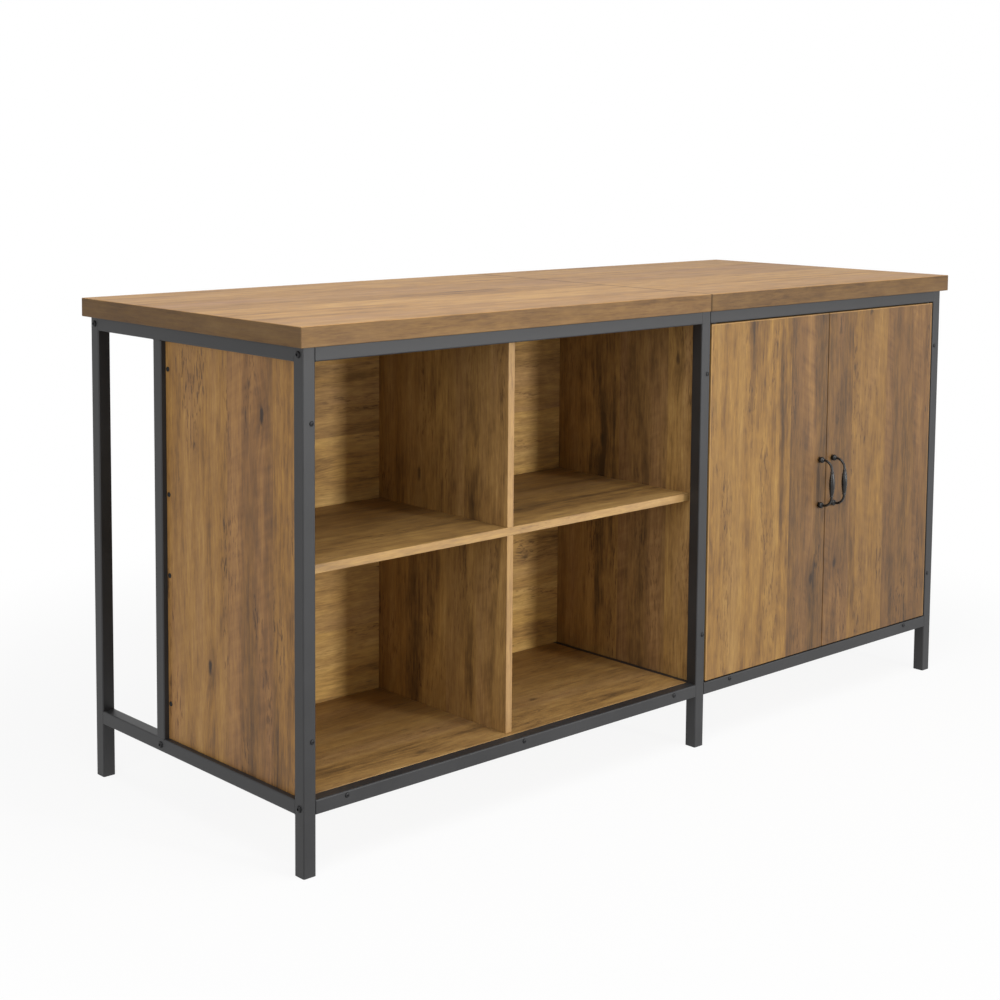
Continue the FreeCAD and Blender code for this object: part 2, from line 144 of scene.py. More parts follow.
class Shader(Tree):
    """A material built on object coordinates."""

    def __init__(self, name):
        self.material = bpy.data.materials.new(name)
        self.material.use_nodes = True
        super().__init__(self.material.node_tree)
        self.made.nodes.clear()
        place = self.node("ShaderNodeTexCoord", {}, {}, "Object")
        parted = self.node("ShaderNodeSeparateXYZ", {}, {0: place})
        self.place = {axis: parted.output(axis.upper()) for axis in "xyz"}

    def noise(self, vector, detail=2.0, roughness=0.5):
        """Cloudy noise about one unit across, near a half on average."""
        inputs = {"Vector": vector, "Scale": 1.0, "Detail": detail, "Roughness": roughness}
        return self.node("ShaderNodeTexNoise", {}, inputs, "Fac")

    def even_noise(self, size, detail):
        """Noise with features of one size, in metres, in every direction."""
        scaled = [self.place[axis] / size for axis in "xyz"]
        return self.noise(self.vector(*scaled), detail)

    def ramp(self, factor, stops):
        return self.node("ShaderNodeValToRGB", {"stops": stops}, {"Fac": factor})

    def blend(self, factor, first, second):
        """A mix of two colours."""
        settings = {"data_type": "RGBA", "clamp_factor": True}
        return self.node("ShaderNodeMix", settings, {"Factor": factor, 6: first, 7: second}, 2)

    def bump(self, height, distance):
        inputs = {"Height": height, "Distance": distance, "Strength": 1.0}
        return self.node("ShaderNodeBump", {}, inputs)

    def surface(self, inputs):
        """Finish the material with a Principled shader."""
        shade = self.node("ShaderNodeBsdfPrincipled", {}, inputs)
        self.node("ShaderNodeOutputMaterial", {}, {"Surface": shade})
        materials[self.material.name] = self.material
        return self.material


def paint(red, green, blue):
    """A colour from its display values, 0 to 255, through the curve that displays use."""
    linear = []
    for value in (red, green, blue):
        share = value / 255
        linear.append(share / 12.92 if share <= 0.04045 else ((share + 0.055) / 1.055) ** 2.4)
    return (*linear, 1.0)


# Wood laminate

golden_oak = (
    (0.16, paint(70, 47, 26)),
    (0.34, paint(122, 86, 46)),
    (0.48, paint(154, 112, 60)),
    (0.62, paint(175, 132, 72)),
    (0.84, paint(203, 163, 98)),
)
smoked_oak = (
    (0.16, paint(54, 38, 25)),
    (0.34, paint(87, 60, 38)),
    (0.48, paint(113, 79, 48)),
    (0.62, paint(133, 95, 59)),
    (0.84, paint(162, 120, 75)),
)
knot_brown = paint(44, 29, 19)
tape_oak = paint(196, 155, 100)

# The tint of each print is painted light and shade, with a little of each board's own hue: the one laminate
# is made darker on the well-lit doors and lighter on the shaded backs, shelves and dividers, and the
# worktop's strong blue paints in part of the pale sheen on its top.
Print = namedtuple("Print", "contrast tint marks gloss tape")
door_print = Print(contrast=1.25, tint=(0.70, 0.705, 0.555), marks=1.2, gloss=0.35, tape=0.4)
side_print = Print(contrast=1.25, tint=(1.04, 1.04, 0.90), marks=1.6, gloss=0.35, tape=0.45)
worktop_print = Print(contrast=0.9, tint=(1.40, 1.54, 1.95), marks=0.3, gloss=0.2, tape=0.0)
back_print = Print(contrast=1.15, tint=(1.72, 2.0, 2.05), marks=1.0, gloss=0.35, tape=0.0)
shelf_print = Print(contrast=1.15, tint=(1.10, 1.26, 1.30), marks=0.8, gloss=0.5, tape=0.15)
divider_print = Print(contrast=1.25, tint=(1.10, 1.25, 1.28), marks=1.0, gloss=0.4, tape=0.3)

# Layers of the grain: features a metre along it and across it, then the noise's detail and roughness

Layer = namedtuple("Layer", "along across detail roughness")
layers = {
    "wander": Layer(1.1, 2.6, 2.0, 0.5),
    "band": Layer(0.8, 15.0, 2.0, 0.5),
    "cloud": Layer(3.4, 16.0, 3.0, 0.55),
    "figure": Layer(3.0, 38.0, 3.0, 0.6),
    "mottle": Layer(14.0, 36.0, 3.0, 0.65),
    "streak": Layer(13.0, 170.0, 3.0, 0.7),
    "fibre": Layer(46.0, 480.0, 2.0, 0.5),
    "crack": Layer(42.0, 260.0, 2.0, 0.6),
    "knot_rim": Layer(40.0, 90.0, 2.0, 0.5),
    "tape": Layer(5.0, 260.0, 3.0, 0.6),
}
tone_shares = {"band": 0.70, "cloud": 0.30, "figure": 0.48, "mottle": 0.30, "streak": 0.36, "fibre": 0.20}
smoke_shares = {"band": 2.4, "cloud": 1.4, "figure": 0.8}
wander_width = 0.03
plank_blur = 0.0005
plank_shift = 0.43

saw_along = 75.0
saw_across = 14.0
saw_skew = 0.5
saw_share = 0.2
saw_bands = (-0.02, 0.10)

crack_step = (0.03, 0.13)
scar_step = (0.03, 0.12)
crack_everywhere = 0.12
crack_shade = 0.17

knots_along = 3.1
knots_across = 8.0
knot_chance = (0.70, 0.74)
knot_swirl_step = (0.03, 0.26)
knot_heart_step = (0.01, 0.06)
knot_raggedness = 0.10
knot_bend = 0.006
swirl_shade = 0.06
heart_shade = 0.7

laminate_roughness = 0.54
laminate_unevenness = 0.25
laminate_relief = 0.0001

tape_width = 0.0020
tape_unevenness = 1.8
skin = 0.0009
# Painted shade on the worktop: its ends darker, and a soft dark band along the seam for the shade of the
# board edges that meet there.
painted_end_shade = 0.11
seam_width = 0.0065
painted_seam_shade = 0.6
seam_loss_below = 0.8


class Board(Shader):
    """A board's print: run goes along the grain, side across it and deep through the board."""

    def __init__(self, name, along, across, seed, look):
        super().__init__(name)
        self.look = look
        self.along = along
        self.across = across
        self.depth = ({"x", "y", "z"} - {along, across}).pop()
        self.seed = seed
        self.run = self.place[along] + seed
        self.side = self.place[across]
        self.deep = self.place[self.depth]
        self.at_end = None

    def turn_ends(self, low, high):
        """Past two places along the grain the print turns onto the board's end."""
        place = self.place
        self.at_end = ((place[self.along] < low) + (place[self.along] > high)).clamp()
        inside = 1 - self.at_end
        self.run = place[self.along] * inside + place[self.across] * self.at_end + self.seed
        self.side = place[self.across] * inside + place[self.depth] * self.at_end
        self.deep = place[self.depth] * inside + place[self.along] * self.at_end

    def grain(self, name):
        """Noise of a layer's size along and across the grain, centred on nought."""
        layer = layers[name]
        place = self.vector(self.run * layer.along, self.side * layer.across, self.deep * layer.across)
        return self.noise(place, layer.detail, layer.roughness) - 0.5

    def lay_planks(self, planks):
        """Shift the print at each plank's far edge, and return how smoked each place is."""
        smoked = planks[0][1]
        for (edge, share), (_, next_share) in zip(planks, planks[1:]):
            beyond = (self.place[self.across] - edge).span(-plank_blur, plank_blur)
            if self.at_end is not None:
                beyond = beyond * (1 - self.at_end)
            smoked = smoked + beyond * (next_share - share)
            self.run = self.run + beyond * plank_shift
        return smoked

    def knots(self):
        """Bend the grain round a few knots; returns the dark ring and the heart of each."""
        cells = self.vector(self.run * knots_along, self.side * knots_across, 0.0)
        settings = {"feature": "F1", "voronoi_dimensions": "2D"}
        far = self.node("ShaderNodeTexVoronoi", settings, {"Vector": cells, "Scale": 1.0}, "Distance")
        kind = self.node("ShaderNodeSeparateColor", {}, {0: far.output("Color")}, 0)
        real = kind.span(*knot_chance) * self.look.marks
        ragged = far + self.grain("knot_rim") * knot_raggedness
        swirl = (1 - far.span(*knot_swirl_step)) * real
        self.side = self.side + swirl * knot_bend
        return swirl, (1 - ragged.span(*knot_heart_step)) * real

    def saw_marks(self, smoked, band):
        """Faint slanting marks of the saw on the smoked planks."""
        skewed = (self.run + self.side * saw_skew) * saw_along
        marks = self.noise(self.vector(skewed, self.side * saw_across, 0.0), detail=1.0) - 0.5
        return marks * smoked * band.span(*saw_bands)

    def colour(self, planks):
        """The print's colour, and its finest grain for the gloss and the bump."""
        smoked = self.lay_planks(planks)
        self.side = self.side + self.grain("wander") * wander_width
        swirl, heart = self.knots()
        grains = {name: self.grain(name) for name in tone_shares}
        tone = sum(grains[name] * share for name, share in tone_shares.items())
        tone = tone + self.saw_marks(smoked, grains["band"]) * saw_share
        scarred = crack_everywhere + grains["cloud"].span(*scar_step) * (1 - crack_everywhere)
        dark = self.grain("crack").span(*crack_step) * scarred * crack_shade + swirl * swirl_shade
        value = 0.5 + tone * self.look.contrast - dark * self.look.marks
        smoke = sum((grains[name] * share for name, share in smoke_shares.items()), smoked).clamp()
        shade = self.blend(smoke, self.ramp(value, golden_oak), self.ramp(value, smoked_oak))
        # The print's tint paints in the light and shade that this board gets.
        shade = self.tinted(self.blend(heart * heart_shade, shade, knot_brown), self.look.tint)
        return shade, grains["streak"] + grains["fibre"]

    def taped(self, colour, tapes):
        """Pale edge tape in (axis, low, high) places, with a grain of its own."""
        uneven = self.grain("tape") * tape_unevenness + 1
        for axis, low, high in tapes:
            inside = (self.place[axis] > low) * (self.place[axis] < high)
            colour = self.blend(inside * uneven * self.look.tape, colour, tape_oak)
        return colour

    def tinted(self, colour, tint):
        """A colour times a share, or times a share for each of red, green and blue."""
        if isinstance(tint, Term):
            tint = self.vector(tint, tint, tint)
        return self.node("ShaderNodeVectorMath", {"operation": "MULTIPLY"}, {0: colour, 1: tint})

    def finish(self, colour, fine):
        """Close the material over its print."""
        return self.surface({
            "Base Color": colour,
            "Roughness": laminate_roughness + fine * laminate_unevenness,
            "Specular IOR Level": self.look.gloss,
            "Normal": self.bump(fine, laminate_relief),
        })


def laminate(name, along, across, seed, planks, look, tapes=()):
    """Oak-print laminate. Planks are (far edge in metres, smoked share) pairs."""
    board = Board(name, along, across, seed, look)
    colour, fine = board.colour(planks)
    return board.finish(board.taped(colour, tapes), fine)


def worktop_laminate(name, seed, planks, low, high, seam, painted_edge_shade):
    """The worktop's print, with painted shade below its top skin, on its ends and along its seam."""
    board = Board(name, "x", "y", seed, worktop_print)
    board.turn_ends(low.x + skin, high.x - skin)
    colour, fine = board.colour(planks)
    below = board.place["z"] < high.z - skin
    from_seam = (board.place["x"] - seam).math("ABSOLUTE")
    at_seam = (1 - from_seam.span(0.0, seam_width)) * (1 - below * seam_loss_below)
    # Painted shade: the edges below the top skin and the ends are darker than the lit top, and the seam's
    # band paints the shade of the meeting board edges over a thin dark joint.
    share = 1 - below * painted_edge_shade - board.at_end * painted_end_shade - at_seam * painted_seam_shade
    return board.finish(board.tinted(colour, share), fine)


# Steel, cast iron, plastic and small parts

def coated_steel():
    """Satin black powder coat with its fine orange peel."""
    shader = Shader("black_powder_coat")
    peel = shader.even_noise(size=0.0011, detail=1.0)
    cloud = shader.even_noise(size=0.09, detail=3.0)
    return shader.surface({
        "Base Color": shader.ramp(cloud, ((0.3, paint(34, 34, 35)), (0.7, paint(41, 41, 42)))),
        "Roughness": 0.38 + cloud * 0.14,
        "Specular IOR Level": 0.4,
        "Normal": shader.bump(peel, distance=0.00005),
    })


def cast_iron():
    """Black lacquered casting for the pulls."""
    shader = Shader("black_cast_iron")
    cast = shader.even_noise(size=0.0016, detail=3.0)
    worn = shader.even_noise(size=0.011, detail=3.0)
    return shader.surface({
        "Base Color": shader.ramp(worn, ((0.35, paint(17, 16, 15)), (0.7, paint(32, 30, 28)))),
        "Roughness": 0.22 + worn * 0.12,
        "Specular IOR Level": 0.4,
        "Normal": shader.bump(cast, distance=0.00010),
    })


def screw_black():
    """Black oxide on the screws and bolts."""
    shader = Shader("black_oxide")
    worn = shader.even_noise(size=0.003, detail=3.0)
    return shader.surface({
        "Base Color": shader.ramp(worn, ((0.35, paint(16, 16, 17)), (0.7, paint(30, 30, 32)))),
        "Roughness": 0.34 + worn * 0.2,
        "Specular IOR Level": 0.25,
        "Normal": shader.bump(worn, distance=0.00004),
    })


def zinc_steel():
    """Bright zinc plate, a little clouded."""
    shader = Shader("zinc_plate")
    cloud = shader.even_noise(size=0.004, detail=4.0)
    return shader.surface({
        "Base Color": shader.ramp(cloud, ((0.3, paint(142, 145, 149)), (0.7, paint(178, 181, 185)))),
        "Roughness": 0.24 + cloud * 0.24,
        "Metallic": 1.0,
        "Normal": shader.bump(cloud, distance=0.00003),
    })


def moulded_plastic(name, dark, light, roughness):
    """Moulded plastic with a fine spark-eroded texture."""
    shader = Shader(name)
    spark = shader.even_noise(size=0.0006, detail=2.0)
    flow = shader.even_noise(size=0.012, detail=2.0)
    return shader.surface({
        "Base Color": shader.ramp(flow, ((0.3, dark), (0.7, light))),
        "Roughness": roughness + spark * 0.12,
        "Normal": shader.bump(spark, distance=0.00003),
    })


def beech():
    """Pale turned beech for the dowels, with flecks along X."""
    shader = Shader("beech_dowel")
    place = shader.place
    flecks_along = 180.0
    flecks_across = 900.0
    flecks = shader.vector(place["x"] * flecks_along, place["y"] * flecks_across, place["z"] * flecks_across)
    fleck = shader.noise(flecks)
    return shader.surface({
        "Base Color": shader.ramp(fleck, ((0.3, paint(188, 150, 108)), (0.7, paint(220, 188, 146)))),
        "Roughness": 0.55 + fleck * 0.15,
        "Normal": shader.bump(fleck, distance=0.00005),
    })


def magnet():
    """Dark sintered magnet."""
    shader = Shader("dark_ferrite")
    grit = shader.even_noise(size=0.0008, detail=3.0)
    return shader.surface({
        "Base Color": shader.ramp(grit, ((0.35, paint(44, 43, 44)), (0.65, paint(74, 73, 74)))),
        "Roughness": 0.45 + grit * 0.2,
        "Metallic": 0.5,
        "Normal": shader.bump(grit, distance=0.00004),
    })


def dress(material, *names):
    """Give CAD nodes a material in their object's own slots."""
    for name in names:
        node = nodes[name]
        if not node.material_slots:
            node.data.materials.append(None)
        for slot in node.material_slots:
            slot.link = "OBJECT"
            slot.material = material


def plank_edges(low, high, shares, smoked):
    """Planks of a print between two limits, from the shares of their far edges and their smoked shares."""
    width = high - low
    return [(low + width * share, tone) for share, tone in zip((*shares, 1.0), smoked)]


def edge_tape(axis, place, width=tape_width):
    """A strip of edge tape that shows at a board's limit."""
    return axis, place - width, place + width


def dress_doors():
    """One print runs across both doors, with pale tape round their edges."""
    low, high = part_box("left_door")
    _, right_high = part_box("right_door")
    seed = 3.1
    planks = plank_edges(low.x, right_high.x, shares=(0.337, 0.615, 0.779), smoked=(0.1, 0.95, 0.4, 0.95))
    tapes = [edge_tape("x", low.x), edge_tape("x", right_high.x), edge_tape("z", high.z)]
    dress(laminate("door_laminate", "z", "x", seed, planks, door_print, tapes), "left_door", "right_door")


def dress_side_panels():
    """The print of the three side panels."""
    sides = (("left", 1.7, side_print), ("middle", 5.3, divider_print), ("right", 8.9, side_print))
    for side, seed, look in sides:
        name = side + "_side_panel"
        low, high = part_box(name)
        planks = plank_edges(low.y, high.y, shares=(0.18, 0.515), smoked=(0.45, 0.85, 0.35))
        tapes = [edge_tape("y", low.y), edge_tape("z", high.z)]
        dress(laminate(side + "_side_laminate", "z", "y", seed, planks, look, tapes), name)


def dress_worktop():
    """A calmer print on the two worktop boards."""
    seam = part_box("worktop_left")[1].x
    # The right board's edges get more painted shade than the left's, for the light that falls off to the
    # right.
    for name, seed, painted_edge_shade in (("worktop_left", 2.3, 0.56), ("worktop_right", 6.1, 0.66)):
        low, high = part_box(name)
        planks = plank_edges(low.y, high.y, shares=(0.21, 0.45, 0.73), smoked=(0.35, 0.15, 0.45, 0.25))
        dress(worktop_laminate(name + "_laminate", seed, planks, low, high, seam, painted_edge_shade), name)


def dress_inner_boards():
    """Lengthwise grain on bottoms, shelves and backs, upright grain on the dividers."""
    for bay, seed in (("shelf_bay", 4.4), ("cupboard", 9.7)):
        for board, offset, shares, smoked in (
            ("_bottom", 0.0, (0.4,), (0.45, 0.3)),
            ("_shelf", 1.3, (0.5,), (0.3, 0.45)),
        ):
            name = bay + board
            low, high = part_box(name)
            planks = plank_edges(low.y, high.y, shares, smoked)
            tapes = [edge_tape("y", low.y, skin)]
            dress(laminate(name + "_laminate", "x", "y", seed + offset, planks, shelf_print, tapes), name)
        for level, offset, smoked in (("lower", 2.2, (0.05, 0.4, 0.15)), ("upper", 3.9, (0.2, 0.55, 0.3))):
            name = f"{bay}_{level}_back"
            low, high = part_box(name)
            planks = plank_edges(low.z, high.z, shares=(0.37, 0.76), smoked=smoked)
            dress(laminate(name + "_laminate", "x", "z", seed + offset, planks, back_print), name)
    for name, seed in (("lower_divider", 7.2), ("upper_divider", 0.6)):
        low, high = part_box(name)
        planks = plank_edges(low.y, high.y, shares=(0.45,), smoked=(0.55, 0.2))
        tapes = [edge_tape("y", low.y, skin)]
        dress(laminate(name + "_laminate", "z", "y", seed, planks, divider_print, tapes), name)


def dress_small_parts():
    """Steel, plastic, zinc, nylon and beech for the CAD pieces that stay as they are."""
    steel = coated_steel()
    for name in nodes:
        if name.endswith(("_leg", "_rail", "_upright")):
            dress(steel, name)
    foot = moulded_plastic("black_foot_plastic", paint(26, 26, 27), paint(36, 36, 37), roughness=0.5)
    catch = moulded_plastic("brown_catch_plastic", paint(70, 50, 34), paint(84, 62, 44), roughness=0.38)
    nylon = moulded_plastic("white_nylon", paint(214, 210, 198), paint(228, 225, 214), roughness=0.42)
    dress(foot, "foot_plugs")
    dress(catch, "catch_body")
    dress(nylon, "left_door_bushes", "right_door_bushes")
    dress(zinc_steel(), "joining_studs", "left_strike_plate", "right_strike_plate")
    dress(screw_black(), "pivot_pins")
    dress(beech(), "board_dowels")
    dress(magnet(), "catch_magnets")


# Pulls

wire_radius = 0.0026
ball_radius = 0.0065
ball_centre = 0.0050
ball_foot_share = 0.86
ball_tip_radius = 0.0002
bend_radius = 0.021
grip_length = 0.054
grip_end_radius = 0.0031
grip_middle_radius = 0.0060
barrel_fullness = 0.9
knuckle_radius = 0.0041
knuckle_width = 0.0018

ring_sides = 24
bend_steps = 12
straight_steps = 96
ball_steps = 18


def add_object(name, data):
    """An object in the scene."""
    made = bpy.data.objects.new(name, data)
    bpy.context.scene.collection.objects.link(made)
    return made


def finished_mesh(name, sheet):
    """An object from a bmesh, with its faces outwards and smooth."""
    bmesh.ops.recalc_face_normals(sheet, faces=sheet.faces)
    for face in sheet.faces:
        face.smooth = True
    mesh = bpy.data.meshes.new(name)
    sheet.to_mesh(mesh)
    sheet.free()
    return add_object(name, mesh)


def tube_along(name, stations):
    """A closed tube through (centre, tangent, radius) stations that all lie in one upright plane."""
    sheet = bmesh.new()
    flat = Vector((1, 0, 0))
    rings = []
    for centre, tangent, radius in stations:
        other = tangent.cross(flat).normalized()
        ring = []
        for step in range(ring_sides):
            turn = 2 * math.pi * step / ring_sides
            ring.append(sheet.verts.new(centre + (flat * math.cos(turn) + other * math.sin(turn)) * radius))
        rings.append(ring)
    for first, second in zip(rings, rings[1:]):
        for step in range(ring_sides):
            after = (step + 1) % ring_sides
            sheet.faces.new((first[step], first[after], second[after], second[step]))
    sheet.faces.new(reversed(rings[0]))
    sheet.faces.new(rings[-1])
    return finished_mesh(name, sheet)


def pull_radius(height):
    """Radius of the pull's bar at a height from its middle: a barrel grip with a knuckle at each end."""
    half = grip_length / 2 - knuckle_width
    far = abs(height)
    bar = wire_radius
    if far < half:
        fullness = math.cos(math.pi / 2 * far / half) ** barrel_fullness
        bar = grip_end_radius + (grip_middle_radius - grip_end_radius) * fullness
    bulge = max(0.0, 1 - ((far - half) / knuckle_width) ** 2)
    return max(bar, wire_radius + (knuckle_radius - wire_radius) * math.sqrt(bulge))


def pull_stations(x, centre, half, front, out):
    """Stations from the upper ball out along the bail and back to the lower ball."""
    shoulder = half - bend_radius
    bend_start = out + bend_radius
    stations = []
    for share in (0.0, 0.5):
        point = Vector((x, front + (bend_start - front) * share, centre + half))
        stations.append((point, Vector((0, -1, 0)), wire_radius))
    for step in range(bend_steps + 1):
        turn = math.pi / 2 * step / bend_steps
        y = bend_start - bend_radius * math.sin(turn)
        z = centre + shoulder + bend_radius * math.cos(turn)
        stations.append((Vector((x, y, z)), Vector((0, -math.cos(turn), -math.sin(turn))), wire_radius))
    upper = list(stations)
    for step in range(1, straight_steps):
        height = shoulder - 2 * shoulder * step / straight_steps
        stations.append((Vector((x, out, centre + height)), Vector((0, 0, -1)), pull_radius(height)))
    for point, tangent, radius in reversed(upper):
        mirrored = Vector((x, point.y, 2 * centre - point.z))
        stations.append((mirrored, Vector((0, -tangent.y, tangent.z)), radius))
    return stations


def ball_stations(x, height, front):
    """Stations of a ball end that stands on a small foot against the door."""
    stations = [(Vector((x, front, height)), Vector((0, -1, 0)), ball_radius * ball_foot_share)]
    start = math.asin(ball_centre / ball_radius)
    for step in range(ball_steps + 1):
        turn = -start + (start + math.pi / 2) * step / ball_steps
        radius = max(ball_radius * math.cos(turn), ball_tip_radius)
        y = front - ball_centre - ball_radius * math.sin(turn)
        stations.append((Vector((x, y, height)), Vector((0, -1, 0)), radius))
    return stations


def joined(name, pieces):
    """One mesh piece from several, at the origin."""
    sheet = bmesh.new()
    for piece in pieces:
        sheet.from_mesh(piece.data)
        bpy.data.objects.remove(piece)
    return finished_mesh(name, sheet)


def make_pulls():
    """The two bail pulls, each on its own door."""
    iron = cast_iron()
    for side in ("left", "right"):
        node = side + "_handle"
        low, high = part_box(node)
        x = (low.x + high.x) / 2
        centre = (low.z + high.z) / 2
        half = (high.z - low.z) / 2 - ball_radius
        front = high.y
        out = low.y + grip_middle_radius
        bar = tube_along("bar", pull_stations(x, centre, half, front, out))
        balls = [tube_along("ball", ball_stations(x, centre + sign * half, front)) for sign in (1, -1)]
        pull = joined(side + "_bail_pull", [bar] + balls)
        pull.data.materials.append(iron)
        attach(pull, side + "_door")
        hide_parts(node)


# Geometry trees for what repeats

def geometry_tree(name, sizes):
    """A geometry tree with a named input for each size and for the finish, and the inputs' keys and terms."""
    made = bpy.data.node_groups.new(name, "GeometryNodeTree")
    made.interface.new_socket("Geometry", in_out="INPUT", socket_type="NodeSocketGeometry")
    made.interface.new_socket("Geometry", in_out="OUTPUT", socket_type="NodeSocketGeometry")
    kinds = {size: "NodeSocketFloat" for size in sizes}
    kinds["Finish"] = "NodeSocketMaterial"
    keys = {}
    for size, kind in kinds.items():
        keys[size] = made.interface.new_socket(size, in_out="INPUT", socket_type=kind).identifier
    tree = Tree(made)
    given = made.nodes.new("NodeGroupInput")
    return tree, keys, {size: Term(tree, given.outputs[size]) for size in ("Geometry", *keys)}


def close_tree(tree, geometry, finish):
    """End a geometry tree in real geometry with its finish."""
    real = tree.node("GeometryNodeRealizeInstances", {}, {"Geometry": geometry})
    finished = tree.node("GeometryNodeSetMaterial", {}, {"Geometry": real, "Material": finish})
    end = tree.made.nodes.new("NodeGroupOutput")
    tree.made.links.new(finished.socket, end.inputs[0])


def grown(name, seeds, tree, keys, values):
    """A plain mesh piece grown from a seed mesh by a geometry tree with these values of its inputs."""
    maker = add_object(seeds.name, seeds)
    modifier = maker.modifiers.new(name, "NODES")
    modifier.node_group = tree.made
    for size, value in values.items():
        modifier[keys[size]] = value
    plain = bpy.data.meshes.new_from_object(maker.evaluated_get(bpy.context.evaluated_depsgraph_get()))
    bpy.data.objects.remove(maker)
    return add_object(name, plain)


# Screws and bolts

same_place = 0.000001
end_share = 0.4
sorting_digits = 4

Fastener = namedtuple("Fastener", "seat aim head_radius head_height shank_radius length")

dome_drop_share = 0.35
rim_taper_share = 0.10
hexagon_share = 0.42
hexagon_depth_share = 1.4
cross_arm_shares = ((1.1, 0.24), (0.24, 1.1))
cross_width_share = 0.75
cross_taper_share = 0.3
cross_depth_share = 0.9
cross_middle_share = 0.8

pitch_share = 0.8
rings_per_pitch = 4
thread_sides = 17
thread_root_share = 0.8
thread_depth_share = 0.4
tip_length_share = 2
root_steepness = 4
thread_weld = 0.000005


def loose_parts(node):
    """The separate solids of a CAD node as lists of points."""
    sheet = bmesh.new()
    sheet.from_mesh(nodes[node].data)
    bmesh.ops.remove_doubles(sheet, verts=sheet.verts, dist=same_place)
    waiting = set(sheet.verts)
    parts = []
    while waiting:
        front = [waiting.pop()]
        points = []
        while front:
            vert = front.pop()
            points.append(vert.co.copy())
            for edge in vert.link_edges:
                other = edge.other_vert(vert)
                if other in waiting:
                    waiting.remove(other)
                    front.append(other)
        parts.append(points)
    sheet.free()

    def middle(points):
        return tuple(round(value, sorting_digits) for value in sum(points, Vector()) / len(points))

    return sorted(parts, key=middle)


def fastener_sizes(points):
    """A fastener's seat, the way its shank points, and its sizes, from the points of its solid."""
    low = Vector([min(point[axis] for point in points) for axis in range(3)])
    high = Vector([max(point[axis] for point in points) for axis in range(3)])
    size = high - low
    axis = max(range(3), key=lambda number: size[number])
    centre = (low + high) / 2
    others = [number for number in range(3) if number != axis]
    end_length = size[axis] * end_share

    def reach(point):
        return max(abs(point[number] - centre[number]) for number in others)

    ends = {}
    for sign, limit in ((1, low[axis]), (-1, high[axis])):
        ends[sign] = max(reach(point) for point in points if abs(point[axis] - limit) < end_length)
    sign = max(ends, key=ends.get)
    head_radius = ends[sign]
    shank_radius = ends[-sign]
    wide = [point[axis] for point in points if reach(point) > (head_radius + shank_radius) / 2]
    start = low[axis] if sign > 0 else high[axis]
    head_height = max(abs(value - start) for value in wide)
    aim = Vector((0, 0, 0))
    aim[axis] = sign
    seat = centre.copy()
    seat[axis] = start + sign * head_height
    return Fastener(seat, aim, head_radius, head_height, shank_radius, size[axis])


def screw_tree(name, hexagonal):
    """Geometry nodes that put a domed, threaded screw on every point, aimed along its aim attribute."""
    sizes = ("Head radius", "Head height", "Shank radius", "Shank length", "Thread pitch")
    tree, keys, given = geometry_tree(name, sizes)
    head_radius, head_height, shank_radius, shank_length, pitch = (given[size] for size in sizes)

    def position(axis):
        place = tree.node("GeometryNodeInputPosition", {}, {})
        return tree.node("ShaderNodeSeparateXYZ", {}, {0: place}, axis)

    def move(geometry, x, y, z):
        inputs = {"Geometry": geometry, "Position": tree.vector(x, y, z)}
        return tree.node("GeometryNodeSetPosition", {}, inputs)

    x = position("X")
    y = position("Y")
    z = position("Z")

    cylinder = {"Vertices": 32, "Side Segments": 6, "Fill Segments": 7, "Radius": 1.0, "Depth": 1.0}
    head = tree.node("GeometryNodeMeshCylinder", {"fill_type": "TRIANGLE_FAN"}, cylinder, "Mesh")
    radial = (x * x + y * y).math("SQRT")
    level = 0.5 - z
    dome = 1 - radial * radial * dome_drop_share
    rim = 1 - (level * level) * rim_taper_share
    head = move(head, x * rim * head_radius, y * rim * head_radius, level * dome * head_height * -1)

    cutters = []
    if hexagonal:
        key = {"Vertices": 6, "Side Segments": 1, "Fill Segments": 1, "Radius": 1.0, "Depth": 1.0}
        cutter = tree.node("GeometryNodeMeshCylinder", {}, key, "Mesh")
        width = head_radius * hexagon_share
        depth = z * head_height * hexagon_depth_share - head_height
        cutters.append(move(cutter, x * width, y * width, depth))
    else:
        width = head_radius * (cross_width_share - z * cross_taper_share)
        depth = (z * cross_depth_share - cross_middle_share) * head_height
        for long_x, long_y in cross_arm_shares:
            arm = tree.node("GeometryNodeMeshCube", {}, {"Size": (long_x, long_y, 1.0)}, "Mesh")
            cutters.append(move(arm, x * width, y * width, depth))
    settings = {"operation": "DIFFERENCE", "solver": "EXACT"}
    head = tree.node("GeometryNodeMeshBoolean", settings, {"Mesh 1": head, "Mesh 2": cutters[0]}, "Mesh")
    for cutter in cutters[1:]:
        tree.made.links.new(cutter.socket, head.socket.node.inputs["Mesh 2"])

    rings = shank_length / pitch * rings_per_pitch
    grid = {"Size X": 1.0, "Size Y": 1.0, "Vertices X": thread_sides, "Vertices Y": rings}
    sheet = tree.node("GeometryNodeMeshGrid", {}, grid, "Mesh")
    turn = x + 0.5
    down = (y + 0.5) * shank_length
    thread = (down / pitch + turn).math("PINGPONG", 0.5)
    tip = ((shank_length - down) / (shank_radius * tip_length_share)).at_most(1.0)
    root = (down / shank_radius * root_steepness).at_most(1.0)
    radius = shank_radius * (thread_root_share + thread * thread_depth_share) * tip * root
    angle = turn * (2 * math.pi)
    shank = move(sheet, radius * angle.math("COSINE"), radius * angle.math("SINE"), down)
    shank = tree.node("GeometryNodeMergeByDistance", {}, {"Geometry": shank, "Distance": thread_weld})

    whole = tree.node("GeometryNodeJoinGeometry", {}, {0: head})
    tree.made.links.new(shank.socket, whole.socket.node.inputs[0])
    aim = tree.node("GeometryNodeInputNamedAttribute", {"data_type": "FLOAT_VECTOR"}, {"Name": "aim"})
    turned = tree.node("FunctionNodeAlignRotationToVector", {"axis": "Z"}, {"Vector": aim})
    inputs = {"Points": given["Geometry"], "Instance": whole, "Rotation": turned}
    close_tree(tree, tree.node("GeometryNodeInstanceOnPoints", {}, inputs), given["Finish"])
    return tree, keys


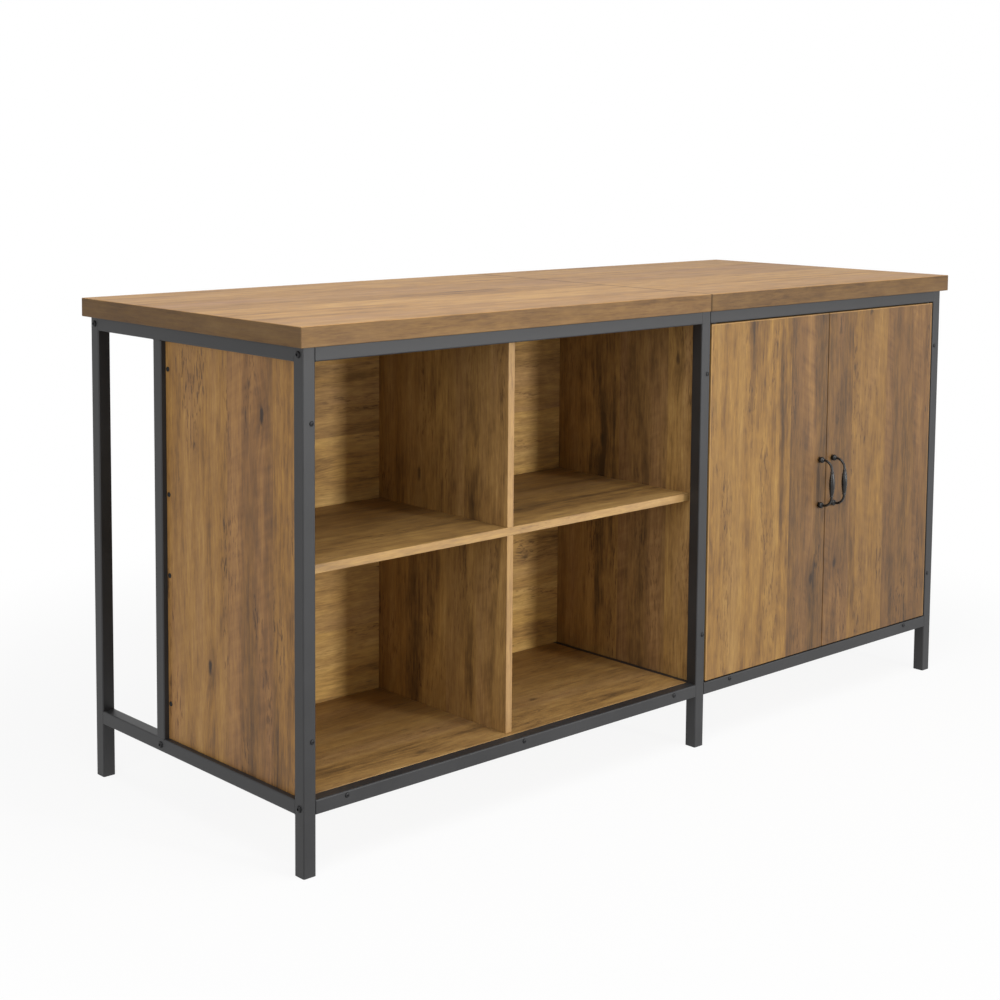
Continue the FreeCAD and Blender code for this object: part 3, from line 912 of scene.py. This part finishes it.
def make_screws():
    """Replace each group of fasteners with domed, threaded ones of the same sizes at the same places."""
    hexagon = screw_tree("hex_bolts", hexagonal=True)
    cross = screw_tree("cross_screws", hexagonal=False)
    black = (materials["black_oxide"], "screw_black")
    zinc = (materials["zinc_plate"], "zinc_steel")
    sets = (
        ("frame_bolts", "frame_bolt_set", hexagon, black, "carcass"),
        ("panel_screws", "panel_screw_set", cross, black, "carcass"),
        ("bottom_screws", "bottom_screw_set", cross, black, "carcass"),
        ("back_screws", "back_screw_set", cross, black, "carcass"),
        ("worktop_screws", "worktop_screw_set", cross, black, "carcass"),
        ("catch_screws", "catch_screw_set", cross, zinc, "carcass"),
        ("left_handle_screws", "left_handle_screw_set", cross, zinc, "left_door"),
        ("right_handle_screws", "right_handle_screw_set", cross, zinc, "right_door"),
    )
    for node, name, (tree, keys), (finish, slot), body in sets:
        found = [fastener_sizes(points) for points in loose_parts(node)]
        seats = bpy.data.meshes.new(node + "_seats")
        seats.from_pydata([fastener.seat for fastener in found], [], [])
        aim = seats.attributes.new("aim", "FLOAT_VECTOR", "POINT")
        aim.data.foreach_set("vector", [value for fastener in found for value in fastener.aim])
        first = found[0]
        piece = grown(name, seats, tree, keys, {
            "Head radius": first.head_radius,
            "Head height": first.head_height,
            "Shank radius": first.shank_radius,
            "Shank length": first.length - first.head_height,
            "Thread pitch": first.shank_radius * pitch_share,
            "Finish": finish,
        })
        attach(piece, body)
        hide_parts(node)


# Weld beads

bead_radius = 0.0011
bead_ripple = 0.0022
bead_unevenness = 0.0004
bead_end = 0.0004
bead_sides = 12
bead_inset = bead_radius * 0.8
steps_per_ripple = 4


def bead_tree():
    """Geometry nodes that lay a rippled bead of weld along every edge."""
    tree, keys, given = geometry_tree("weld_bead", ("Radius", "Ripple", "Unevenness"))
    path = tree.node("GeometryNodeMeshToCurve", {}, {"Mesh": given["Geometry"]})
    steps = {"Curve": path, "Length": given["Ripple"] / steps_per_ripple}
    path = tree.node("GeometryNodeResampleCurve", {"mode": "LENGTH"}, steps)
    circle = {"Resolution": bead_sides, "Radius": given["Radius"]}
    ring = tree.node("GeometryNodeCurvePrimitiveCircle", {}, circle, "Curve")
    bead = tree.node("GeometryNodeCurveToMesh", {}, {"Curve": path, "Profile Curve": ring, "Fill Caps": True})
    place = tree.node("GeometryNodeInputPosition", {}, {})
    noise = {"Vector": place, "Scale": 1 / given["Ripple"], "Detail": 1.0}
    push = (tree.node("ShaderNodeTexNoise", {}, noise, "Fac") - 0.5) * given["Unevenness"] * 2
    facing = tree.node("GeometryNodeInputNormal", {}, {})
    offset = tree.node("ShaderNodeVectorMath", {"operation": "SCALE"}, {0: facing, "Scale": push})
    bead = tree.node("GeometryNodeSetPosition", {}, {"Geometry": bead, "Offset": offset})
    close_tree(tree, tree.node("GeometryNodeSetShadeSmooth", {}, {"Geometry": bead}), given["Finish"])
    return tree, keys


def bead_paths():
    """Straight paths over the side faces where the end frames' side rails and uprights butt."""
    paths = []
    for side in ("left", "middle", "right"):
        upright_low, upright_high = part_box(side + "_upright")
        _, front_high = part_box(side + "_front_leg")
        rear_low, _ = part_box(side + "_rear_leg")
        upright_ends = (upright_low.y + bead_end, upright_high.y - bead_end)
        for rail in ("_top_side_rail", "_low_side_rail"):
            low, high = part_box(side + rail)
            z = high.z - bead_inset if high.z < upright_high.z else low.z + bead_inset
            rail_ends = (low.z + bead_end, high.z - bead_end)
            for x in (low.x + bead_inset, high.x - bead_inset):
                for y in (front_high.y - bead_inset, rear_low.y + bead_inset):
                    paths.append([Vector((x, y, end)) for end in rail_ends])
                paths.append([Vector((x, end, z)) for end in upright_ends])
    return paths


def make_weld_beads():
    """Ground weld beads in the end frames' joints."""
    tree, keys = bead_tree()
    points = [end for path in bead_paths() for end in path]
    lines = bpy.data.meshes.new("bead_paths")
    lines.from_pydata(points, [(start, start + 1) for start in range(0, len(points), 2)], [])
    piece = grown("weld_beads", lines, tree, keys, {
        "Radius": bead_radius,
        "Ripple": bead_ripple,
        "Unevenness": bead_unevenness,
        "Finish": materials["black_powder_coat"],
    })
    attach(piece, "carcass")


# Stage, lights and camera

floor_reach = 14.0
floor_paint = (0.86, 0.86, 0.86, 1.0)
white = (1.0, 1.0, 1.0, 1.0)
shadow_fades = (1.1, 1.9)
shadow_share = 0.1
room_light = 0.28


def white_share(tree):
    """One for the rays that see the background: from the camera, in gloss and through clear surfaces."""
    seen = tree.node("ShaderNodeLightPath", {}, {}, "Is Camera Ray")
    return (seen + seen.output("Is Glossy Ray") + seen.output("Is Transmission Ray")).clamp()


def make_stage():
    """A floor that shows as white and still takes a soft shadow near the island."""
    mesh = bpy.data.meshes.new("floor")
    corners = [(-1, -1), (1, -1), (1, 1), (-1, 1)]
    mesh.from_pydata([(x * floor_reach, y * floor_reach, 0) for x, y in corners], [], [(0, 1, 2, 3)])
    floor = add_object("floor", mesh)
    material = bpy.data.materials.new("white_floor")
    material.use_nodes = True
    tree = Tree(material.node_tree)
    tree.made.nodes.clear()
    place = tree.node("ShaderNodeTexCoord", {}, {}, "Object")
    far = tree.node("ShaderNodeVectorMath", {"operation": "LENGTH"}, {0: place}, "Value")
    share = white_share(tree) * (1 - shadow_share + far.span(*shadow_fades) * shadow_share)
    plain = tree.node("ShaderNodeBsdfDiffuse", {}, {"Color": floor_paint})
    glow = tree.node("ShaderNodeEmission", {}, {"Color": white, "Strength": 1.0})
    mixed = tree.node("ShaderNodeMixShader", {}, {0: share, 1: plain, 2: glow})
    tree.node("ShaderNodeOutputMaterial", {}, {"Surface": mixed})
    mesh.materials.append(material)


def make_world():
    """White behind the object, and a plain soft light from all round."""
    world = bpy.data.worlds.new("studio")
    world.use_nodes = True
    bpy.context.scene.world = world
    tree = Tree(world.node_tree)
    tree.made.nodes.clear()
    soft = tree.node("ShaderNodeBackground", {}, {"Color": white, "Strength": room_light})
    bright = tree.node("ShaderNodeBackground", {}, {"Color": white, "Strength": 1.0})
    mixed = tree.node("ShaderNodeMixShader", {}, {0: white_share(tree), 1: soft, 2: bright})
    tree.node("ShaderNodeOutputWorld", {}, {"Surface": mixed})


def add_lamp(name, place, target, width, height, power):
    """A soft box that faces a point."""
    data = bpy.data.lights.new(name, "AREA")
    data.shape = "RECTANGLE"
    data.size = width
    data.size_y = height
    data.energy = power
    lamp = add_object(name, data)
    lamp.location = place
    lamp.rotation_euler = (Vector(target) - Vector(place)).to_track_quat("-Z", "Y").to_euler()
    lamp.visible_camera = False


def make_lights():
    """A tall soft box in front and a little to the right, soft walls at both sides and a box overhead."""
    add_lamp("front_box", (1.05, -5.7, 1.5), (0.0, -0.3, 0.5), width=0.6, height=2.4, power=150.0)
    add_lamp("gloss_wall", (2.95, -4.4, 1.0), (-0.3, -0.3, 0.5), width=2.1, height=2.0, power=62.0)
    add_lamp("left_wall", (-4.3, -1.7, 1.4), (-0.6, 0.0, 0.5), width=2.2, height=2.0, power=54.0)
    add_lamp("top_box", (-0.6, -1.2, 3.2), (-0.1, 0.0, 0.6), width=2.4, height=1.8, power=62.0)


def make_camera():
    """The photograph's viewpoint, with its square frame shifted down and a little to the right."""
    yaw = math.radians(42.084)
    pitch = math.radians(5.348)
    roll = math.radians(0.35)
    forward = Vector((math.sin(yaw) * math.cos(pitch), math.cos(yaw) * math.cos(pitch), -math.sin(pitch)))
    level = Vector((math.cos(yaw), -math.sin(yaw), 0))
    above = level.cross(forward)
    right = level * math.cos(roll) + above * math.sin(roll)
    up = above * math.cos(roll) - level * math.sin(roll)
    data = bpy.data.cameras.new("camera")
    data.sensor_width = 36.0
    data.lens = 63.99
    data.shift_x = 0.0362
    data.shift_y = -0.19
    camera = add_object("camera", data)
    place = Vector((-2.5588, -2.5371, 1.1861))
    camera.matrix_world = Matrix.Translation(place) @ Matrix((right, up, -forward)).transposed().to_4x4()
    bpy.context.scene.camera = camera


make_camera()
make_stage()
make_world()
make_lights()
dress_doors()
dress_side_panels()
dress_worktop()
dress_inner_boards()
dress_small_parts()
make_pulls()
make_screws()
make_weld_beads()
bpy.context.scene.view_settings.view_transform = "Standard"
